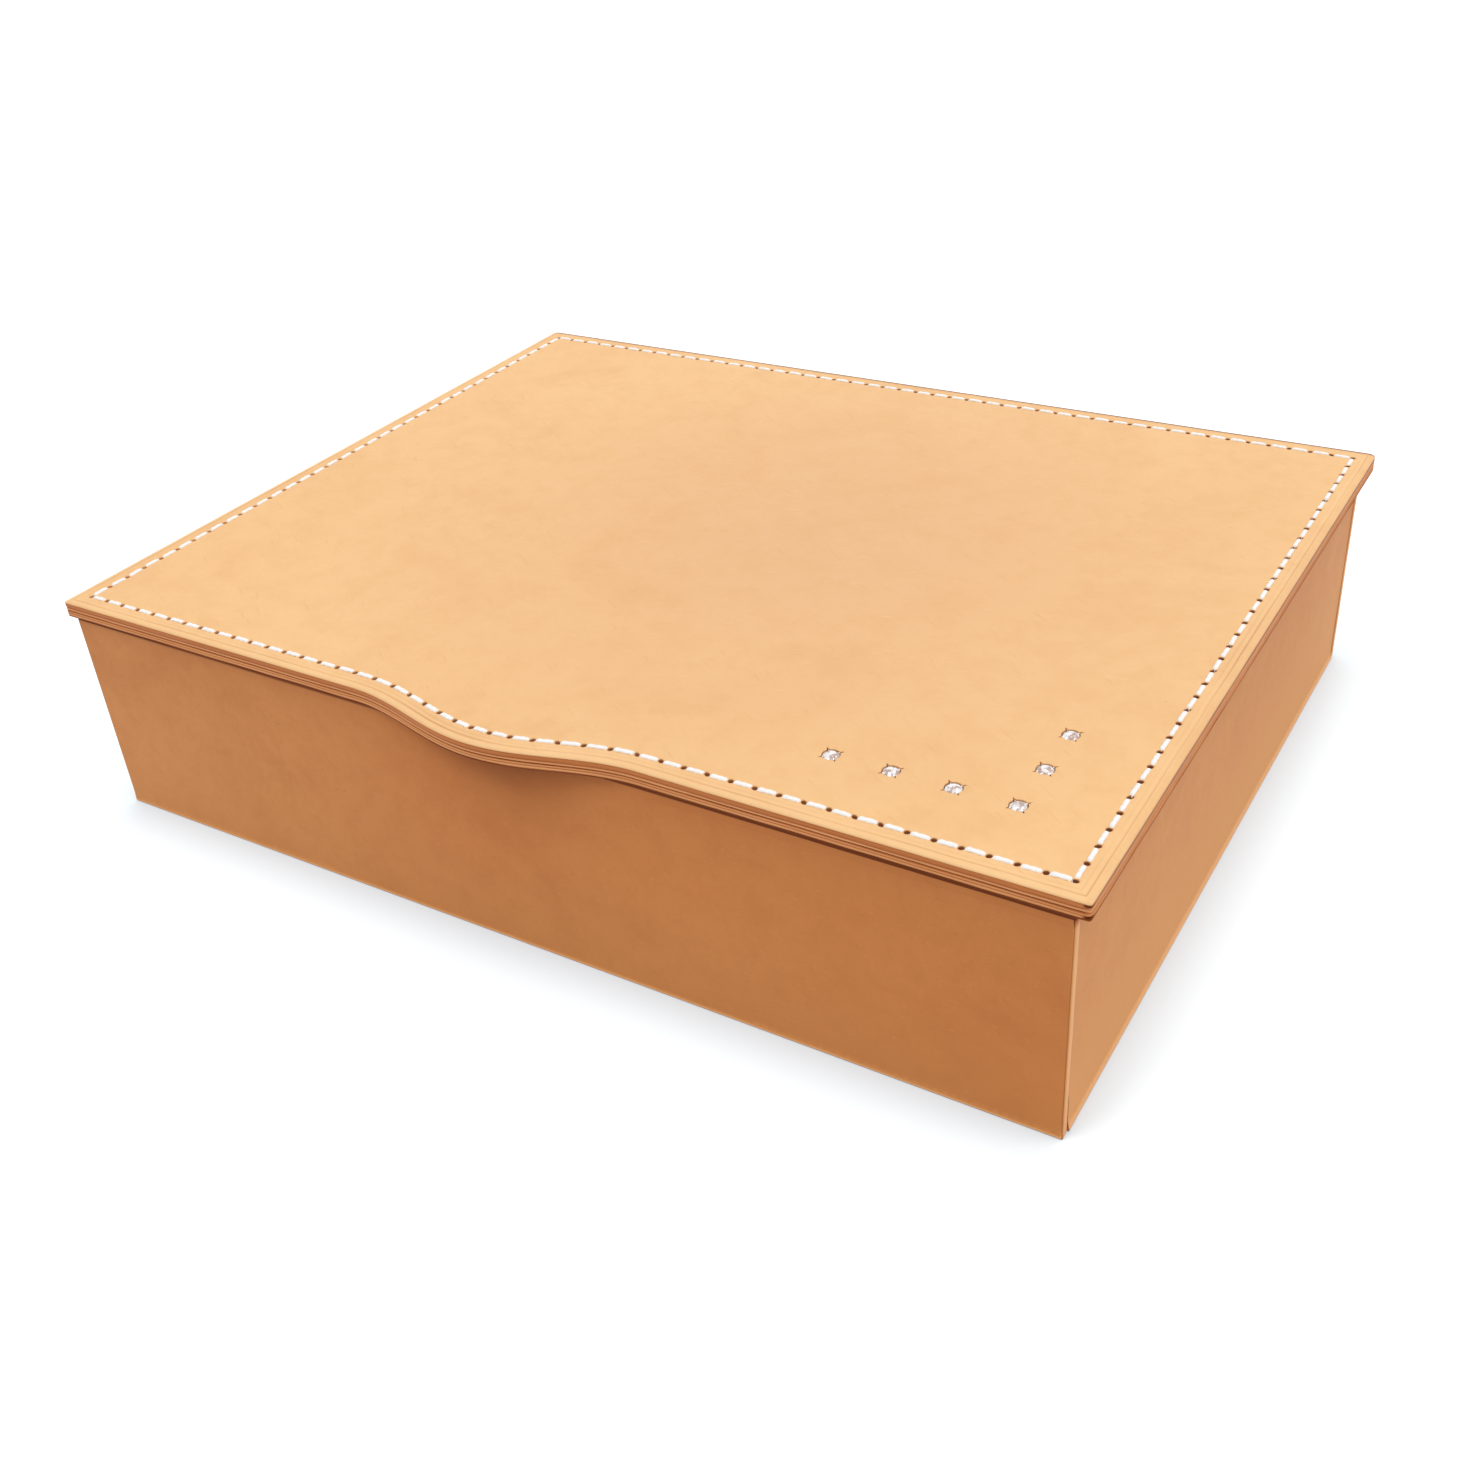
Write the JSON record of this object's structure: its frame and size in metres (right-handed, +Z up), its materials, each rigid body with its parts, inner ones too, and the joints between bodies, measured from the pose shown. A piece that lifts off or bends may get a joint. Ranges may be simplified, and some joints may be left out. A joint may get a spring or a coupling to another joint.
{
  "type": "jewelry box",
  "caption": "Rectangular leather box with a hinged saddle-stitched lid, a wave-shaped thumb lip, set stones, and a suede-lined inside with compartments and ring rolls.",
  "frame": {"origin": "middle of the body's footprint, on the surface that the box stands on", "axes": "+X to the right along the front, +Y to the back, +Z up"},
  "size_m": [0.244, 0.1952, 0.0557],
  "materials": {
    "body_leather": "smooth vegetable-tanned leather, satin",
    "lid_leather": "pale natural leather, satin",
    "under_leather": "natural leather with a burnished edge",
    "board": "plain grey board",
    "suede": "soft suede, matt",
    "thread": "waxed white thread",
    "stone": "clear faceted glass",
    "silver": "bright plated",
    "brass": "satin brass"
  },
  "bodies": {
    "root": {"front_leather": "body_leather", "back_leather": "body_leather", "left_leather": "body_leather", "right_leather": "body_leather", "base_leather": "body_leather", "front_board": "board", "back_board": "board", "left_board": "board", "right_board": "board", "base_board": "board", "front_lining": "suede", "back_lining": "suede", "left_lining": "suede", "right_lining": "suede", "floor_lining": "suede", "long_divider": "suede", "back_divider": "suede", "ring_divider": "suede", "side_divider": "suede", "ring_roll_1": "suede", "ring_roll_2": "suede", "ring_roll_3": "suede", "ring_roll_4": "suede", "ring_roll_5": "suede", "ring_roll_6": "suede", "hinge_left_body_leaf": "brass", "hinge_left_pin": "brass", "hinge_left_body_screw_1": "brass", "hinge_left_body_screw_2": "brass", "hinge_right_body_leaf": "brass", "hinge_right_pin": "brass", "hinge_right_body_screw_1": "brass", "hinge_right_body_screw_2": "brass"},
    "lid": {"lid_top_leather": "lid_leather", "lid_under_leather": "under_leather", "lid_seam_thread": "thread", "lid_liner_board": "board", "lid_liner_suede": "suede", "stone_1": "stone", "stone_2": "stone", "stone_3": "stone", "stone_4": "stone", "stone_5": "stone", "stone_6": "stone", "setting_1": "silver", "setting_2": "silver", "setting_3": "silver", "setting_4": "silver", "setting_5": "silver", "setting_6": "silver", "hinge_left_lid_leaf": "brass", "hinge_left_lid_screw_1": "brass", "hinge_left_lid_screw_2": "brass", "hinge_right_lid_leaf": "brass", "hinge_right_lid_screw_1": "brass", "hinge_right_lid_screw_2": "brass"}
  },
  "joints": [
    {"name": "lid_hinge", "type": "hinge", "parent": "root", "child": "lid", "pos_m": [0, 0.0938, 0.0492], "axis": [-1, 0, 0], "range_deg": [0, 100]}
  ]
}
